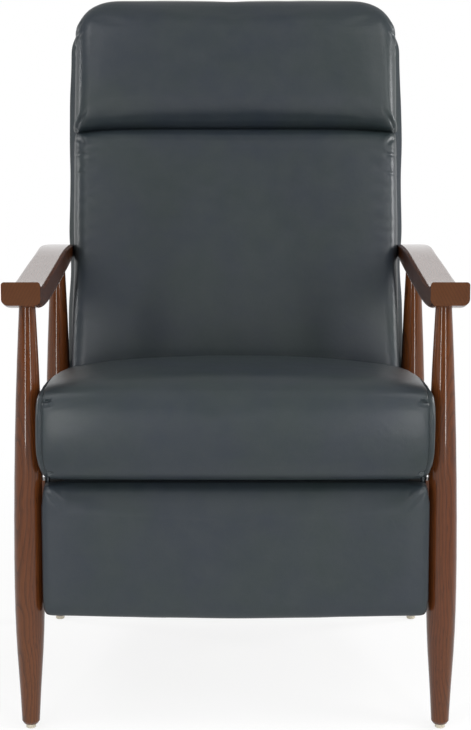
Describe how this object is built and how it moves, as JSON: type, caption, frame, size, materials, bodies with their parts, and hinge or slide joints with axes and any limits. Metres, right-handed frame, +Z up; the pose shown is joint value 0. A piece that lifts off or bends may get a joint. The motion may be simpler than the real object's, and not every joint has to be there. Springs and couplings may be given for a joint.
{
  "type": "recliner armchair",
  "caption": "Push-back recliner armchair with bare turned wooden legs and arms, thick leather cushions and a front panel that swings out as a footrest.",
  "frame": {"origin": "on the floor, at the middle of the chair's width and depth with the footrest closed and the back upright", "axes": "+Z up, -Y the way the chair faces, +X to the right of someone who faces the chair; nodes called left are at -X"},
  "size_m": [0.6602, 0.8111, 1.056],
  "materials": {
    "walnut_lacquer": "gloss",
    "nylon_glide": "satin",
    "plywood": "matte",
    "frame_hardwood": "matte",
    "slate_leather": "satin",
    "felt_pad": "matte",
    "spring_steel": "satin",
    "black_painted_steel": "satin",
    "zinc_steel": "satin",
    "bumper_rubber": "matte"
  },
  "bodies": {
    "base": {"back_hinge_bolts": "zinc_steel", "front_rail": "frame_hardwood", "left_arm": "walnut_lacquer", "left_front_leg": "walnut_lacquer", "left_mechanism_plate": "black_painted_steel", "left_rear_leg": "walnut_lacquer", "left_side_frame": "plywood", "left_side_panel": "slate_leather", "leg_bolts": "zinc_steel", "leg_glides": "nylon_glide", "leg_spacers": "walnut_lacquer", "linkage_pivot_bolts": "zinc_steel", "plate_screws": "zinc_steel", "rail_screws": "zinc_steel", "rear_rail": "frame_hardwood", "right_arm": "walnut_lacquer", "right_front_leg": "walnut_lacquer", "right_mechanism_plate": "black_painted_steel", "right_rear_leg": "walnut_lacquer", "right_side_frame": "plywood", "right_side_panel": "slate_leather", "seat_cushion": "slate_leather", "seat_spring_clips": "spring_steel", "seat_spring_pad": "felt_pad", "seat_springs": "spring_steel"},
    "back": {"back_bottom_rail": "frame_hardwood", "back_bracket_bolts": "zinc_steel", "back_cushion": "slate_leather", "back_middle_rail": "frame_hardwood", "back_springs": "spring_steel", "back_top_rail": "frame_hardwood", "head_pillow": "slate_leather", "left_back_boxing": "slate_leather", "left_back_bracket": "black_painted_steel", "left_back_post": "frame_hardwood", "lug_rivets": "zinc_steel", "outside_back_panel": "slate_leather", "right_back_boxing": "slate_leather", "right_back_bracket": "black_painted_steel", "right_back_post": "frame_hardwood"},
    "push_rod_left": {"left_push_rod": "black_painted_steel"},
    "push_rod_right": {"right_push_rod": "black_painted_steel"},
    "rear_cranks": {"left_rear_crank": "black_painted_steel", "right_rear_crank": "black_painted_steel", "crank_torque_tube": "black_painted_steel", "crank_rivets": "zinc_steel"},
    "coupler": {"left_coupler_link": "black_painted_steel", "right_coupler_link": "black_painted_steel", "coupler_cross_tube": "black_painted_steel", "coupler_rivets": "zinc_steel"},
    "footrest": {"left_footrest_bracket": "black_painted_steel", "right_footrest_bracket": "black_painted_steel", "footrest_board": "plywood", "bracket_screws": "zinc_steel", "footrest_pad": "slate_leather", "footrest_bumpers": "bumper_rubber"},
    "front_crank_left": {"left_front_crank": "black_painted_steel"},
    "front_crank_right": {"right_front_crank": "black_painted_steel"},
    "drag_link_left": {"left_drag_link": "black_painted_steel"},
    "drag_link_right": {"right_drag_link": "black_painted_steel"}
  },
  "joints": [
    {"name": "back_recline", "type": "hinge", "parent": "base", "child": "back", "pos_m": [0, 0.0979, 0.33], "axis": [-1, 0, 0], "range_deg": [0, 35]},
    {"name": "push_rod_left_turn", "type": "hinge", "parent": "back", "child": "push_rod_left", "pos_m": [-0.24, 0.12196, 0.2537], "axis": [-1, 0, 0], "range_deg": [-35.01, 0]},
    {"name": "push_rod_right_turn", "type": "hinge", "parent": "back", "child": "push_rod_right", "pos_m": [0.24, 0.12196, 0.2537], "axis": [-1, 0, 0], "range_deg": [-35.01, 0]},
    {"name": "rear_cranks_turn", "type": "hinge", "parent": "base", "child": "rear_cranks", "pos_m": [0, -0.1941, 0.345], "axis": [-1, 0, 0], "range_deg": [0, 90]},
    {"name": "front_crank_left_turn", "type": "hinge", "parent": "base", "child": "front_crank_left", "pos_m": [-0.245, -0.25788, 0.37841], "axis": [-1, 0, 0], "range_deg": [0, 90]},
    {"name": "front_crank_right_turn", "type": "hinge", "parent": "base", "child": "front_crank_right", "pos_m": [0.245, -0.25788, 0.37841], "axis": [-1, 0, 0], "range_deg": [0, 90]},
    {"name": "coupler_turn", "type": "hinge", "parent": "rear_cranks", "child": "coupler", "pos_m": [0, -0.05551, 0.20641], "axis": [-1, 0, 0], "range_deg": [-90, 0]},
    {"name": "drag_link_left_turn", "type": "hinge", "parent": "rear_cranks", "child": "drag_link_left", "pos_m": [-0.235, -0.05551, 0.16441], "axis": [-1, 0, 0], "range_deg": [-90, 0]},
    {"name": "drag_link_right_turn", "type": "hinge", "parent": "rear_cranks", "child": "drag_link_right", "pos_m": [0.235, -0.05551, 0.16441], "axis": [-1, 0, 0], "range_deg": [-90, 0]},
    {"name": "footrest_turn", "type": "hinge", "parent": "coupler", "child": "footrest", "pos_m": [0, -0.3201, 0.345], "axis": [-1, 0, 0], "range_deg": [0, 90]}
  ],
  "couplings": [
    {"joint": "push_rod_left_turn", "follows": "back_recline", "ratio": -1},
    {"joint": "push_rod_right_turn", "follows": "back_recline", "ratio": -1},
    {"joint": "rear_cranks_turn", "follows": "back_recline", "ratio": 2.5714},
    {"joint": "front_crank_left_turn", "follows": "back_recline", "ratio": 2.5714},
    {"joint": "front_crank_right_turn", "follows": "back_recline", "ratio": 2.5714},
    {"joint": "coupler_turn", "follows": "back_recline", "ratio": -2.5714},
    {"joint": "drag_link_left_turn", "follows": "back_recline", "ratio": -2.5714},
    {"joint": "drag_link_right_turn", "follows": "back_recline", "ratio": -2.5714},
    {"joint": "footrest_turn", "follows": "back_recline", "ratio": 2.5714}
  ]
}
